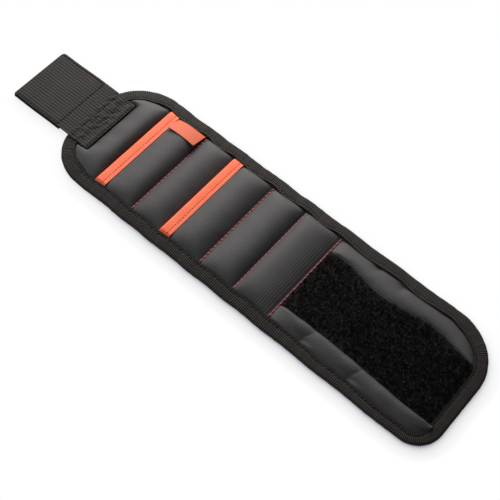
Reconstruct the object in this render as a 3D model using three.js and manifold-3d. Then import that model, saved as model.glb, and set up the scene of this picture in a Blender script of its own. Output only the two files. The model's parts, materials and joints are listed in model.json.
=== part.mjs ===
// A magnetic wristband laid out flat with its outer face up. A padded band of sewn cells is bound
// round its edge, two of the cells are pockets with a ribbon-bound mouth, a webbing strap with hook
// tape leaves one end, and loop tape covers the tail at the other end.
import * as THREE from 'three';
import { mergeVertices } from 'three/addons/utils/BufferGeometryUtils.js';
import Module from 'manifold-3d';

const wasm = await Module();
wasm.setup();

// Driving dimensions in millimetres. Lengths along the band run from the strap end to the tail.
const BAND_WIDTH = 90;
const END_CELL = 39.5;
const FIRST_POCKET = 31.7;
const FIRST_PAD = 24.6;
const SECOND_POCKET = 33.2;
const SECOND_PAD = 27.6;
const THIRD_PAD = 28.5;
const TAIL_LENGTH = 123.9;
const STRAP_END_RADIUS = 24;
const TAIL_FAR_RADIUS = 28;
const TAIL_NEAR_RADIUS = 21;

const BINDING_WIDTH = 8.5;
const BINDING_THICKNESS = 0.6;
const LINING_HEM = 0.5;
const COVER_FABRIC = 0.6;
const PAD_RISE = 5.4;
const SEAM_HEM = 1.3;

const MAGNET_DIAMETER = 14;
const MAGNET_THICKNESS = 2;
const MAGNET_SPACING = 34;

const RIBBON_WIDTH = 8.2;
const RIBBON_THICKNESS = 0.5;
const LABEL_LENGTH = 19.5;
const LABEL_WIDTH = 11;
const LABEL_THICKNESS = 0.5;

const STRAP_WIDTH = 48;
const STRAP_THICKNESS = 1.3;
const STRAP_REACH = 51;
const STRAP_SEAT = 16.4;
const STRAP_FOLD = 7;
const STRAP_NOTCH = 1.5;
const HOOK_LENGTH = 39;
const HOOK_WIDTH = 50;
const HOOK_THICKNESS = 1.8;

const LOOP_WIDTH = 49;
const LOOP_THICKNESS = 1.3;
const TAIL_PADDING = 0.5;
const TAIL_PUFF = 2.2;

const STITCH_LENGTH = 3.2;
const THREAD_WIDTH = 0.7;
const THREAD_HEIGHT = 0.6;

// Gaps: between pieces that lie on each other, and between the two cells of a fold.
const CLEARANCE = 0.3;
const FOLD_GAP = 0.6;

// Steps of the curved surfaces.
const ARC_STEPS = 7;
const CROWN_STEPS = 4;
const SIDE_STEPS = 5;
const LABEL_STEPS = 5;
const MAGNET_SIDES = 24;

// Heights of the layers, from the wrist side up.
const liningTop = BINDING_THICKNESS + CLEARANCE + LINING_HEM;
const hemBottom = liningTop + CLEARANCE;
const hemTop = hemBottom + COVER_FABRIC;
const bindingHeight = hemTop + CLEARANCE + BINDING_THICKNESS;
const crestTop = hemTop + PAD_RISE;

// How far in from the band's edge the sewn hems, and what lies inside the binding, may reach.
const hemInset = BINDING_THICKNESS + CLEARANCE;
const faceInset = BINDING_WIDTH + CLEARANCE;

// The cells in order along the band, each with its place. The tail bends in three equal lengths.
const TAIL_FOLDS = 3;
const cells = [
  { name: 'end_cell', length: END_CELL },
  { name: 'pocket_1', length: FIRST_POCKET },
  { name: 'pad_1', length: FIRST_PAD },
  { name: 'pocket_2', length: SECOND_POCKET },
  { name: 'pad_2', length: SECOND_PAD },
  { name: 'pad_3', length: THIRD_PAD },
  { name: 'tail_1', length: TAIL_LENGTH / TAIL_FOLDS },
  { name: 'tail_2', length: TAIL_LENGTH / TAIL_FOLDS },
  { name: 'tail_3', length: TAIL_LENGTH / TAIL_FOLDS },
];
let bodyLength = 0;
for (const cell of cells) {
  cell.start = bodyLength;
  bodyLength += cell.length;
  cell.end = bodyLength;
  cell.left = cell.start === 0 ? 0 : cell.start + FOLD_GAP / 2;
  cell.right = cell.end - FOLD_GAP / 2;
}
const lastCell = cells[cells.length - 1];
lastCell.right = bodyLength;
const cellNamed = (name) => cells.find((cell) => cell.name === name);

// Materials, one for each kind of cloth, tape, foam and metal.
const cloth = (color, roughness) => new THREE.MeshStandardMaterial({ color, roughness, metalness: 0 });
const coverCloth = () => cloth(0x3c3c40, 0.62);
const liningCloth = () => cloth(0x2b2b2e, 0.85);
const bindingTape = () => cloth(0x2c2a27, 0.8);
const foam = () => cloth(0x55565a, 0.95);
const orangeRibbon = () => cloth(0xe8663f, 0.7);
const webbing = () => cloth(0x46423d, 0.8);
const loopPile = () => cloth(0x161618, 0.95);
const hookTape = () => cloth(0x1b1b1d, 0.6);
const redThread = () => cloth(0xa52a30, 0.6);
const nickel = () => new THREE.MeshStandardMaterial({ color: 0xb9bcc0, roughness: 0.3, metalness: 1 });

// Solids for joining and cutting.
function solidOf(geometry) {
  const bare = geometry.clone();
  bare.deleteAttribute('normal');
  bare.deleteAttribute('uv');
  const welded = mergeVertices(bare, 1e-4);
  return new wasm.Manifold(new wasm.Mesh({
    numProp: 3,
    vertProperties: Float32Array.from(welded.attributes.position.array),
    triVerts: Uint32Array.from(welded.index.array),
  }));
}

function geometryOf(solid) {
  const { vertProperties, triVerts } = solid.getMesh();
  const geometry = new THREE.BufferGeometry();
  geometry.setAttribute('position', new THREE.BufferAttribute(vertProperties, 3));
  geometry.setIndex(new THREE.BufferAttribute(triVerts, 1));
  geometry.computeVertexNormals();
  return geometry;
}

// A block between two places along the band, wider and taller than the band, or one side of it.
function stretch(left, right, side = 0) {
  const room = 2 * BAND_WIDTH;
  const block = new THREE.BoxGeometry(right - left, side ? room : 2 * room, room);
  block.translate((left + right) / 2, side * room / 2, 0);
  return solidOf(block);
}

// The band's outline, drawn in by an inset: straight sides with a round corner at each end.
function bandOutline(inset) {
  const half = BAND_WIDTH / 2 - inset;
  const far = bodyLength - inset;
  const strapRadius = STRAP_END_RADIUS - inset;
  const nearRadius = TAIL_NEAR_RADIUS - inset;
  const farRadius = TAIL_FAR_RADIUS - inset;
  const quarter = Math.PI / 2;
  const shape = new THREE.Shape();
  shape.moveTo(inset + strapRadius, -half);
  shape.lineTo(far - nearRadius, -half);
  shape.absarc(far - nearRadius, -half + nearRadius, nearRadius, -quarter, 0);
  shape.lineTo(far, half - farRadius);
  shape.absarc(far - farRadius, half - farRadius, farRadius, 0, quarter);
  shape.lineTo(inset + strapRadius, half);
  shape.absarc(inset + strapRadius, half - strapRadius, strapRadius, quarter, 2 * quarter);
  shape.lineTo(inset, -half + strapRadius);
  shape.absarc(inset + strapRadius, -half + strapRadius, strapRadius, 2 * quarter, 3 * quarter);
  return shape;
}

// A flat layer of the band between two heights.
function layer(inset, bottom, top) {
  const options = { depth: top - bottom, bevelEnabled: false, curveSegments: ARC_STEPS };
  const geometry = new THREE.ExtrudeGeometry(bandOutline(inset), options);
  return solidOf(geometry.translate(0, 0, bottom));
}

// How far the drawn-in outline reaches to one side (+1 far, -1 near) at a place along the band.
function edgeAt(along, inset, side) {
  const half = BAND_WIDTH / 2 - inset;
  const tailRadius = side > 0 ? TAIL_FAR_RADIUS : TAIL_NEAR_RADIUS;
  const intoStrapCorner = Math.max(0, STRAP_END_RADIUS - along);
  const intoTailCorner = Math.max(0, along - (bodyLength - tailRadius));
  const radius = (intoStrapCorner > 0 ? STRAP_END_RADIUS : tailRadius) - inset;
  const into = Math.max(intoStrapCorner, intoTailCorner);
  return side * (half - radius + Math.sqrt(Math.max(0, radius * radius - into * into)));
}

// A closed solid over a grid: places along the band, stations across it, and two heights.
function quilted(alongs, acrossAt, lowAt, highAt) {
  const positions = [];
  const index = [];
  const columns = alongs.length;
  const rows = acrossAt(alongs[0]).length;
  for (const heightAt of [lowAt, highAt]) {
    for (const along of alongs) {
      for (const across of acrossAt(along)) {
        positions.push(along, across, heightAt(along, across));
      }
    }
  }
  const low = (i, j) => i * rows + j;
  const high = (i, j) => columns * rows + low(i, j);
  const quad = (a, b, c, d) => index.push(a, b, c, a, c, d);
  for (let i = 0; i < columns - 1; i += 1) {
    for (let j = 0; j < rows - 1; j += 1) {
      quad(high(i, j), high(i + 1, j), high(i + 1, j + 1), high(i, j + 1));
      quad(low(i, j), low(i, j + 1), low(i + 1, j + 1), low(i + 1, j));
    }
    quad(low(i, 0), low(i + 1, 0), high(i + 1, 0), high(i, 0));
    quad(low(i + 1, rows - 1), low(i, rows - 1), high(i, rows - 1), high(i + 1, rows - 1));
  }
  for (let j = 0; j < rows - 1; j += 1) {
    quad(low(0, j + 1), low(0, j), high(0, j), high(0, j + 1));
    quad(low(columns - 1, j), low(columns - 1, j + 1), high(columns - 1, j + 1), high(columns - 1, j));
  }
  const geometry = new THREE.BufferGeometry();
  geometry.setAttribute('position', new THREE.Float32BufferAttribute(positions, 3));
  geometry.setIndex(index);
  geometry.computeVertexNormals();
  return geometry;
}

// Stations from -1 to 1, closer together towards the ends, where a crown falls away.
function stations(steps) {
  const list = [];
  for (let k = -steps; k <= steps; k += 1) {
    list.push(Math.sin((Math.PI / 2) * (k / steps)));
  }
  return list;
}

// The shape of the padding: how full the crowns are, and how soon they fall away at their edges.
const CROWN_POWER = 2.4;
const SIDE_POWER = 6;
const FULLNESS = 0.6;
const bulge = (share, power) => Math.max(0, 1 - Math.abs(share) ** power) ** FULLNESS;

// A crown over part of a cell: its height share at a point, and its grid along and across.
function crown(left, right) {
  const middle = (left + right) / 2;
  const half = (right - left) / 2;
  const reach = (along, side) => edgeAt(along, faceInset, side);
  const alongs = stations(CROWN_STEPS).map((share) => middle + half * share);
  const acrossAt = (along) => stations(SIDE_STEPS).map(
    (share) => Math.abs(share) * reach(along, share < 0 ? -1 : 1),
  );
  const shareAt = (along, across) => {
    const side = across < 0 ? -1 : 1;
    return bulge((along - middle) / half, CROWN_POWER) * bulge(across / reach(along, side), SIDE_POWER);
  };
  return { alongs, acrossAt, shareAt };
}

// A strip of tape: a side profile of [along, height] points, swept straight across the band.
function tape(points, width) {
  const shape = new THREE.Shape(points.map(([along, height]) => new THREE.Vector2(along, height)));
  const geometry = new THREE.ExtrudeGeometry(shape, { depth: width, bevelEnabled: false });
  return geometry.rotateX(Math.PI / 2).translate(0, width / 2, 0);
}

function addPart(group, name, geometry, material) {
  const mesh = new THREE.Mesh(geometry, material);
  mesh.name = name;
  group.add(mesh);
}

// The edge binding: a tape folded round the hems of the lining and the cover, with a soft fold.
const ROUNDED_SHARE = 1 / 3;
function bindingRing() {
  const fold = bindingHeight * ROUNDED_SHARE;
  const options = {
    depth: bindingHeight - 2 * fold,
    bevelThickness: fold,
    bevelSize: fold,
    bevelSegments: 2,
    curveSegments: ARC_STEPS,
  };
  const outer = new THREE.ExtrudeGeometry(bandOutline(fold), options).translate(0, 0, fold);
  const face = layer(BINDING_WIDTH, -CLEARANCE, bindingHeight + CLEARANCE);
  const channel = layer(BINDING_THICKNESS, BINDING_THICKNESS, bindingHeight - BINDING_THICKNESS);
  return solidOf(outer).subtract(face).subtract(channel);
}
const binding = bindingRing();

// The lining: thick in the middle, and pressed flat where the binding holds its hem.
const lining = layer(faceInset, 0, liningTop)
  .add(layer(hemInset, BINDING_THICKNESS + CLEARANCE, liningTop));

function addBinding(group, cell) {
  const cut = binding.intersect(stretch(cell.left, cell.right));
  if (cell === cells[0] || cell === lastCell) {
    addPart(group, `${cell.name}_binding`, geometryOf(cut), bindingTape());
    return;
  }
  for (const [word, side] of [['near', -1], ['far', 1]]) {
    const half = binding.intersect(stretch(cell.left, cell.right, side));
    addPart(group, `${cell.name}_binding_${word}`, geometryOf(half), bindingTape());
  }
}

function addLining(group, cell) {
  const cut = lining.intersect(stretch(cell.left, cell.right));
  addPart(group, `${cell.name}_lining`, geometryOf(cut), liningCloth());
}

// A cover cloth with its flat hems, crowned over the padding between left and right.
function coverOver(cell, pad) {
  const across = (along) => [
    -BAND_WIDTH / 2 + hemInset,
    ...pad.acrossAt(along),
    BAND_WIDTH / 2 - hemInset,
  ];
  const inside = (along) => along >= pad.alongs[0] && along <= pad.alongs[pad.alongs.length - 1];
  const rise = (along, y) => (inside(along) ? PAD_RISE * pad.shareAt(along, y) : 0);
  const alongs = [Math.max(cell.left, hemInset), ...pad.alongs, cell.right];
  return quilted(
    alongs,
    across,
    (along, y) => hemBottom + rise(along, y),
    (along, y) => hemTop + rise(along, y),
  );
}

// The foam under a cover: the same crown, one clearance lower, flat on the lining.
function foamUnder(pad) {
  return quilted(
    pad.alongs.slice(1, -1),
    (along) => pad.acrossAt(along).slice(1, -1),
    () => hemBottom,
    (along, y) => hemBottom + PAD_RISE * pad.shareAt(along, y) - CLEARANCE,
  );
}

// Two disc magnets stand on the lining in round pockets of the foam.
function magnetAt(along, across, clearance) {
  const radius = MAGNET_DIAMETER / 2 + clearance;
  const height = MAGNET_THICKNESS + clearance;
  const disc = new THREE.CylinderGeometry(radius, radius, height, MAGNET_SIDES);
  return disc.rotateX(Math.PI / 2).translate(along, across, hemBottom + height / 2);
}

// A line of stitching: a flat thread that dips between its stitches.
function seamThread(along) {
  const length = 2 * (BAND_WIDTH / 2 - faceInset);
  const count = Math.round(length / STITCH_LENGTH);
  const pitch = length / count;
  const bottom = hemTop + CLEARANCE;
  const points = [new THREE.Vector2(length / 2, bottom), new THREE.Vector2(-length / 2, bottom)];
  for (let k = 0; k < count; k += 1) {
    const from = -length / 2 + k * pitch;
    points.push(new THREE.Vector2(from, bottom + THREAD_HEIGHT / 2));
    points.push(new THREE.Vector2(from + pitch / 4, bottom + THREAD_HEIGHT));
    points.push(new THREE.Vector2(from + (pitch * 3) / 4, bottom + THREAD_HEIGHT));
  }
  points.push(new THREE.Vector2(length / 2, bottom + THREAD_HEIGHT / 2));
  const options = { depth: THREAD_WIDTH, bevelEnabled: false };
  const geometry = new THREE.ExtrudeGeometry(new THREE.Shape(points), options);
  const turn = new THREE.Matrix4().makeBasis(
    new THREE.Vector3(0, 1, 0),
    new THREE.Vector3(0, 0, 1),
    new THREE.Vector3(1, 0, 0),
  );
  return geometry.applyMatrix4(turn).translate(along, 0, 0);
}

function addSeamThread(group, cell, number) {
  const along = cell.left + (SEAM_HEM - THREAD_WIDTH) / 2;
  addPart(group, `seam_thread_${number}`, seamThread(along), redThread());
}

// The cell at the strap end: padded past the strap's seat, with the strap's end sewn over its edge.
function endCell() {
  const group = new THREE.Group();
  const cell = cellNamed('end_cell');
  const pad = crown(STRAP_SEAT + SEAM_HEM, cell.right - SEAM_HEM);
  const cover = solidOf(coverOver(cell, pad)).intersect(layer(hemInset, 0, crestTop + CLEARANCE));
  addPart(group, 'end_cell_cover', geometryOf(cover), coverCloth());
  addPart(group, 'end_cell_foam', foamUnder(pad), foam());
  addLining(group, cell);
  addBinding(group, cell);
  const overBinding = bindingHeight + CLEARANCE;
  const onCover = hemTop + CLEARANCE;
  const stepDown = BINDING_WIDTH + CLEARANCE + 2 * STRAP_THICKNESS;
  const foldEdge = -STRAP_FOLD + FOLD_GAP / 2;
  const lower = [
    [foldEdge, overBinding],
    [BINDING_WIDTH + CLEARANCE, overBinding],
    [stepDown, onCover],
    [STRAP_SEAT, onCover],
  ];
  const upper = lower.map(([along, height]) => [along, height + STRAP_THICKNESS]).reverse();
  upper[upper.length - 1][0] += STRAP_NOTCH;
  addPart(group, 'strap_anchor', tape([...lower, ...upper], STRAP_WIDTH), webbing());
  return group;
}

// The free strap: webbing with hook tape sewn under its outer part. A notch on top of its fold line
// leaves it room to lift.
function strap() {
  const group = new THREE.Group();
  const bottom = bindingHeight + CLEARANCE;
  const hookTop = bottom - CLEARANCE;
  const foldEdge = -STRAP_FOLD - FOLD_GAP / 2;
  const web = [
    [-STRAP_REACH, bottom],
    [foldEdge, bottom],
    [foldEdge - STRAP_NOTCH, bottom + STRAP_THICKNESS],
    [-STRAP_REACH, bottom + STRAP_THICKNESS],
  ];
  const hookEnd = -STRAP_REACH + HOOK_LENGTH;
  const hooks = [
    [-STRAP_REACH, hookTop - HOOK_THICKNESS],
    [hookEnd, hookTop - HOOK_THICKNESS],
    [hookEnd, hookTop],
    [-STRAP_REACH, hookTop],
  ];
  addPart(group, 'strap_webbing', tape(web, STRAP_WIDTH), webbing());
  addPart(group, 'hook_tape', tape(hooks, HOOK_WIDTH), hookTape());
  return group;
}

// A pocket: a flat back sewn into the binding, and a front that is crowned over an empty space.
function pocket(name) {
  const group = new THREE.Group();
  const cell = cellNamed(name);
  const reach = BAND_WIDTH / 2 - hemInset;
  const back = quilted(
    [cell.left, cell.right],
    () => [-reach, reach],
    () => hemBottom,
    () => hemTop,
  );
  addPart(group, `${name}_back`, back, coverCloth());
  addLining(group, cell);
  addBinding(group, cell);
  group.add(pocketFront(cell));
  return group;
}

// The front's mouth lies in a folded ribbon, and its lower edge is sewn at the seam behind it.
function pocketFront(cell) {
  const group = new THREE.Group();
  const mouth = cell.left + RIBBON_THICKNESS + CLEARANCE;
  const ribbonEnd = mouth + RIBBON_WIDTH;
  const seamBottom = hemTop + CLEARANCE;
  const mouthBottom = seamBottom + RIBBON_THICKNESS + CLEARANCE;
  const pad = crown(ribbonEnd + CLEARANCE, cell.right - SEAM_HEM);
  const crownStart = pad.alongs[0];
  const crownEnd = pad.alongs[pad.alongs.length - 1];
  const bottomAt = (along) => {
    const share = THREE.MathUtils.clamp((along - crownStart) / (crownEnd - crownStart), 0, 1);
    return THREE.MathUtils.lerp(mouthBottom, seamBottom, share);
  };
  const lowAt = (along, y) => {
    const inside = along >= crownStart && along <= crownEnd;
    const rise = crestTop - COVER_FABRIC - bottomAt(along);
    return bottomAt(along) + (inside ? rise * pad.shareAt(along, y) : 0);
  };
  const topAt = (along, y) => lowAt(along, y) + COVER_FABRIC;
  const front = quilted([mouth, ...pad.alongs, cell.right], pad.acrossAt, lowAt, topAt);
  addPart(group, `${cell.name}_front`, front, coverCloth());

  const low = mouthBottom - CLEARANCE;
  const high = mouthBottom + COVER_FABRIC + CLEARANCE;
  const channel = mouth - CLEARANCE;
  const folded = [
    [cell.left, low - RIBBON_THICKNESS],
    [ribbonEnd, low - RIBBON_THICKNESS],
    [ribbonEnd, low],
    [channel, low],
    [channel, high],
    [ribbonEnd, high],
    [ribbonEnd, high + RIBBON_THICKNESS],
    [cell.left, high + RIBBON_THICKNESS],
  ];
  const ribbonLength = 2 * (BAND_WIDTH / 2 - faceInset);
  addPart(group, `${cell.name}_ribbon`, tape(folded, ribbonLength), orangeRibbon());
  if (cell.name === 'pocket_1') {
    const label = sideLabel(ribbonEnd + CLEARANCE, topAt);
    addPart(group, 'side_label', label, orangeRibbon());
  }
  return group;
}

// The woven label lies on the first pocket's front, along the far binding.
function sideLabel(left, topAt) {
  const farEdge = BAND_WIDTH / 2 - faceInset;
  const shares = stations(LABEL_STEPS).map((share) => (1 + share) / 2);
  const alongs = shares.map((share) => left + LABEL_LENGTH * share);
  const acrosses = stations(LABEL_STEPS)
    .filter((share) => share >= 0)
    .map((share) => farEdge - LABEL_WIDTH * (1 - share));
  const under = (along, y) => topAt(along, y) + CLEARANCE;
  const over = (along, y) => under(along, y) + LABEL_THICKNESS;
  return quilted(alongs, () => acrosses, under, over);
}

// A padded cell with foam and two magnets under its cover.
function paddedCell(name, seamNumber) {
  const group = new THREE.Group();
  const cell = cellNamed(name);
  const pad = crown(cell.left + SEAM_HEM, cell.right - SEAM_HEM);
  addPart(group, `${name}_cover`, coverOver(cell, pad), coverCloth());
  addLining(group, cell);
  addBinding(group, cell);
  const middle = (cell.left + cell.right) / 2;
  let padding = solidOf(foamUnder(pad));
  for (const [word, side] of [['near', -1], ['far', 1]]) {
    const across = side * MAGNET_SPACING / 2;
    padding = padding.subtract(solidOf(magnetAt(middle, across, CLEARANCE)));
    addPart(group, `${name}_magnet_${word}`, magnetAt(middle, across, 0), nickel());
  }
  addPart(group, `${name}_foam`, geometryOf(padding), foam());
  addSeamThread(group, cell, seamNumber);
  return group;
}

// A length of the tail: a lightly padded panel, puffed beside the loop tape that is sewn on it. The
// stations lie closer together where a puff falls away.
const PUFF_ACROSS = [0, 0.12, 0.5, 0.88, 1];
const PUFF_ALONG = [0, 0.06, 0.35, 0.65, 0.94, 1];
function tailLength(name, seamNumber) {
  const group = new THREE.Group();
  const cell = cellNamed(name);
  const loopHalf = LOOP_WIDTH / 2 + CLEARANCE;
  const flatTop = hemTop + TAIL_PADDING;
  const puffEnd = bodyLength - Math.max(TAIL_FAR_RADIUS, TAIL_NEAR_RADIUS) / 2;
  const left = cell.left + SEAM_HEM;
  const right = Math.min(cell.right - SEAM_HEM, puffEnd);
  const sideAt = (along, side) => {
    const edge = Math.abs(edgeAt(Math.min(along, puffEnd), faceInset, side));
    return PUFF_ACROSS.map((share) => side * THREE.MathUtils.lerp(edge, loopHalf, share));
  };
  const acrossAt = (along) => [
    -BAND_WIDTH / 2 + hemInset,
    ...sideAt(along, -1),
    ...sideAt(along, 1).reverse(),
    BAND_WIDTH / 2 - hemInset,
  ];
  const topAt = (along, y) => {
    if (along <= left || along >= right) {
      return hemTop;
    }
    const edge = Math.abs(edgeAt(along, faceInset, y < 0 ? -1 : 1));
    const share = THREE.MathUtils.clamp((edge - Math.abs(y)) / (edge - loopHalf), 0, 1);
    return hemTop + TAIL_PADDING * share + TAIL_PUFF * Math.sin(Math.PI * share) ** FULLNESS;
  };
  const alongs = PUFF_ALONG.map((share) => THREE.MathUtils.lerp(left, right, share));
  const panel = quilted([cell.left, ...alongs, cell.right], acrossAt, () => hemBottom, topAt);
  const trimmed = solidOf(panel).intersect(layer(hemInset, 0, crestTop));
  addPart(group, `${name}_panel`, geometryOf(trimmed), coverCloth());
  addLining(group, cell);
  addBinding(group, cell);
  const loopStart = seamNumber ? cell.left + SEAM_HEM : cell.left;
  const loopBottom = flatTop + CLEARANCE;
  const strip = new THREE.BoxGeometry(cell.right - loopStart, LOOP_WIDTH, LOOP_THICKNESS);
  strip.translate((loopStart + cell.right) / 2, 0, loopBottom + LOOP_THICKNESS / 2);
  const loop = solidOf(strip).intersect(layer(faceInset, 0, crestTop));
  addPart(group, `${name}_loop_tape`, geometryOf(loop), loopPile());
  if (seamNumber) {
    addSeamThread(group, cell, seamNumber);
  }
  return group;
}

// The band, with its middle over the origin and its wrist side down.
const wristband = new THREE.Group();
wristband.add(strap());
wristband.add(endCell());
wristband.add(pocket('pocket_1'));
wristband.add(paddedCell('pad_1', 1));
wristband.add(pocket('pocket_2'));
wristband.add(paddedCell('pad_2', 2));
wristband.add(paddedCell('pad_3', 3));
wristband.add(tailLength('tail_1', 4));
wristband.add(tailLength('tail_2'));
wristband.add(tailLength('tail_3'));
wristband.position.x = (STRAP_REACH - bodyLength) / 2;

export default wristband;
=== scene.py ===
"""A magnetic wristband lying open on a pale table, outer face up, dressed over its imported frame."""
import json
import math
import random

import bmesh
import bpy
from mathutils import Matrix, Vector, noise

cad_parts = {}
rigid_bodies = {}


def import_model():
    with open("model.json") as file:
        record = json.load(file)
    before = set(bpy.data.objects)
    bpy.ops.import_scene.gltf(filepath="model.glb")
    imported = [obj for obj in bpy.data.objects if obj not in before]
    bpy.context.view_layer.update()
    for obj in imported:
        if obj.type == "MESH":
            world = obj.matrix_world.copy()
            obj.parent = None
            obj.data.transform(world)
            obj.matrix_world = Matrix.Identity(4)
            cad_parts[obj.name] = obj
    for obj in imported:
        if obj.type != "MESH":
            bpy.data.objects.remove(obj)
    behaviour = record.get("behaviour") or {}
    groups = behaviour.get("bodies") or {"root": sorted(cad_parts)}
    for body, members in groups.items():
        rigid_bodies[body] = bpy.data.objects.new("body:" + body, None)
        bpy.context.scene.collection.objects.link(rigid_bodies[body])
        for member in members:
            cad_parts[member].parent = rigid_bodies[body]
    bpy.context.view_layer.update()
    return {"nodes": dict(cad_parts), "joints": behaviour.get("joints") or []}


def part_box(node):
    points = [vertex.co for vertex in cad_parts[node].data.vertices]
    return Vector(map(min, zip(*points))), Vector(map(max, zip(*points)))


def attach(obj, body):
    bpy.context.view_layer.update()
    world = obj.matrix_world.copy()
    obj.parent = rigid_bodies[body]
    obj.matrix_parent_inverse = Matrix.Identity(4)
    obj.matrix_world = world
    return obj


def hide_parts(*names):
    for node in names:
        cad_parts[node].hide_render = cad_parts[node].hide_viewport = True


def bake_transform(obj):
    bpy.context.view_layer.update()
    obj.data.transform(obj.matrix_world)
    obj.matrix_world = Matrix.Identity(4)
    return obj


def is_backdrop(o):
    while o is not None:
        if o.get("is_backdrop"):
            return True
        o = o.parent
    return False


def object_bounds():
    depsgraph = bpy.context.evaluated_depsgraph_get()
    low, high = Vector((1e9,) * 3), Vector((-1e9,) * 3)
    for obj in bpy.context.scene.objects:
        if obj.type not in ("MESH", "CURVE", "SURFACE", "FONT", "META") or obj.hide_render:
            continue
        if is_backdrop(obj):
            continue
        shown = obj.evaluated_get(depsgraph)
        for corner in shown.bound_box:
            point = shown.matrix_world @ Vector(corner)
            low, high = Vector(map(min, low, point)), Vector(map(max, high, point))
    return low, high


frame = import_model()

MM = 0.001

# Wrist-side lining.
# Black spacer mesh, a knitted cloth with staggered holes, cut to the band's outline and drawn up a
# little where the quilting seams go through it.
CELLS = ["end_cell", "pocket_1", "pad_1", "pocket_2", "pad_2", "pad_3", "tail_1", "tail_2", "tail_3"]
LAST_SEAM = CELLS.index("pad_3")
SEAM_BEND = 4 * MM
TAIL_BEND = 9 * MM
STRAP_NEAR_RADIUS = 30 * MM
STRAP_FAR_RADIUS = 35 * MM
TAIL_NEAR_RADIUS = 19 * MM
TAIL_FAR_RADIUS = 35 * MM
BINDING_WIDTH = 8.5 * MM
LINING_TUCK = 1.4 * MM
LINING_RISE = 0.75 * MM
LINING_THICKNESS = 0.9 * MM
LINING_STEP = 0.75 * MM
HOLE_PITCH = 3.4 * MM
HOLE_DEPTH = 0.3 * MM
HOLE_RIM = 0.2
SEAM_PULL = 0.35 * MM
SEAM_PULL_REACH = 1.6 * MM
DYE_PATCH = 12.0
ROUGH_SPREAD = 0.16

band_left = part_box("end_cell_binding")[0].x
band_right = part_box("tail_3_binding")[1].x
half_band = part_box("end_cell_binding")[1].y
inner_half = half_band - BINDING_WIDTH
lining_inset = BINDING_WIDTH - LINING_TUCK
folds = []
for left, right in zip(CELLS, CELLS[1:]):
    joint = next(j for j in frame["joints"] if {j["parent"], j["child"]} == {left, right})
    folds.append(joint["pos_m"][0])
bends = [SEAM_BEND if number <= LAST_SEAM else TAIL_BEND for number in range(len(folds))]
cuts = [fold - bend for fold, bend in zip(folds, bends)]


def limited(share):
    """A share kept between 0 and 1."""
    return min(max(share, 0.0), 1.0)


def eased(share):
    """A share that leaves 0 and reaches 1 gently."""
    share = limited(share)
    return share * share * (3 - 2 * share)


def ridge(off, reach):
    """A rounded ridge or groove: 1 in its middle, and next to nothing two reaches away."""
    return math.exp(-((off / reach) ** 2))


def half_width(x, side, inset):
    """How far the band's edge, drawn in by inset, lies from the middle line at x (side 1 is far)."""
    radius = TAIL_FAR_RADIUS if side > 0 else TAIL_NEAR_RADIUS
    into = x - (band_right - radius)
    if x < 0:
        radius = STRAP_FAR_RADIUS if side > 0 else STRAP_NEAR_RADIUS
        into = band_left + radius - x
    corner = radius - inset
    into = min(max(into, 0.0), corner)
    return half_band - radius + math.sqrt(corner**2 - into**2)


def follow_band(piece, number):
    """Attaches the first piece to the end cell, and bakes where each other piece stands into its mesh.
    """
    if number == 0:
        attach(piece, CELLS[0])
        return
    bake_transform(piece)


def cloth_grid(start, end, step, rows, place):
    """A cloth as a grid from start to end. place(along, t) gives a crossing's point, and where it lies
    on the flat cloth in millimetres, for t from 0 to 1 across the cloth. The flat place is kept as the
    weave's own coordinates."""
    bm = bmesh.new()
    weave = bm.loops.layers.uv.new("weave")
    bmesh.ops.create_grid(bm, x_segments=round((end - start) / step), y_segments=rows, size=0.5)
    flat = {}
    for vert in bm.verts:
        vert.co, flat[vert] = place(start + (vert.co.x + 0.5) * (end - start), vert.co.y + 0.5)
    for face in bm.faces:
        face.smooth = True
        for loop in face.loops:
            loop[weave].uv = flat[loop.vert]
    return bm


def piece_of(bm, name, material):
    """Makes a finished bmesh a piece of the object, with its cut edges crisp."""
    for edge in bm.edges:
        edge.smooth = not edge.is_boundary
    mesh = bpy.data.meshes.new(name)
    bm.to_mesh(mesh)
    bm.free()
    mesh.materials.append(material)
    piece = bpy.data.objects.new(name, mesh)
    bpy.context.scene.collection.objects.link(piece)
    return piece


def thicken(piece, thickness, offset=-1):
    """Gives a cloth its thickness: behind the modelled face, before it (offset 1) or both ways (0)."""
    solid = piece.modifiers.new("cloth thickness", "SOLIDIFY")
    solid.thickness = thickness
    solid.offset = offset


def colour(red, green, blue):
    """A colour as seen on a screen, from 0 to 255, as the light that it stands for."""
    def light(share):
        return share / 12.92 if share <= 0.04045 else ((share + 0.055) / 1.055) ** 2.4
    return (light(red / 255), light(green / 255), light(blue / 255), 1.0)


def put(tree, kind, inputs=None, **choices):
    """Adds a node with its own choices; inputs are values, or outputs of other nodes to link."""
    node = tree.nodes.new(kind)
    for name, value in choices.items():
        setattr(node, name, value)
    for socket, value in (inputs or {}).items():
        if isinstance(value, bpy.types.NodeSocket):
            tree.links.new(value, node.inputs[socket])
        else:
            node.inputs[socket].default_value = value
    return node


def maths(tree, operation, first, second=0.0, third=0.0):
    """The result of a sum on up to three values or outputs."""
    node = put(tree, "ShaderNodeMath", {0: first, 1: second, 2: third}, operation=operation)
    return node.outputs[0]


def blended(tree, share, first, second):
    """A colour that turns from the first into the second as the share goes from 0 to 1."""
    node = put(tree, "ShaderNodeMix", {"Factor": share}, data_type="RGBA")
    node.inputs["A"].default_value = first
    node.inputs["B"].default_value = second
    return node.outputs["Result"]


def effect(name, inputs):
    """A node group with named number inputs, which puts out a Height and a Shade."""
    group = bpy.data.node_groups.new(name, "ShaderNodeTree")
    for socket, value in inputs.items():
        made = group.interface.new_socket(socket, in_out="INPUT", socket_type="NodeSocketFloat")
        made.default_value = value
    for socket in ("Height", "Shade"):
        group.interface.new_socket(socket, in_out="OUTPUT", socket_type="NodeSocketFloat")
    return group, put(group, "NodeGroupInput").outputs


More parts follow.
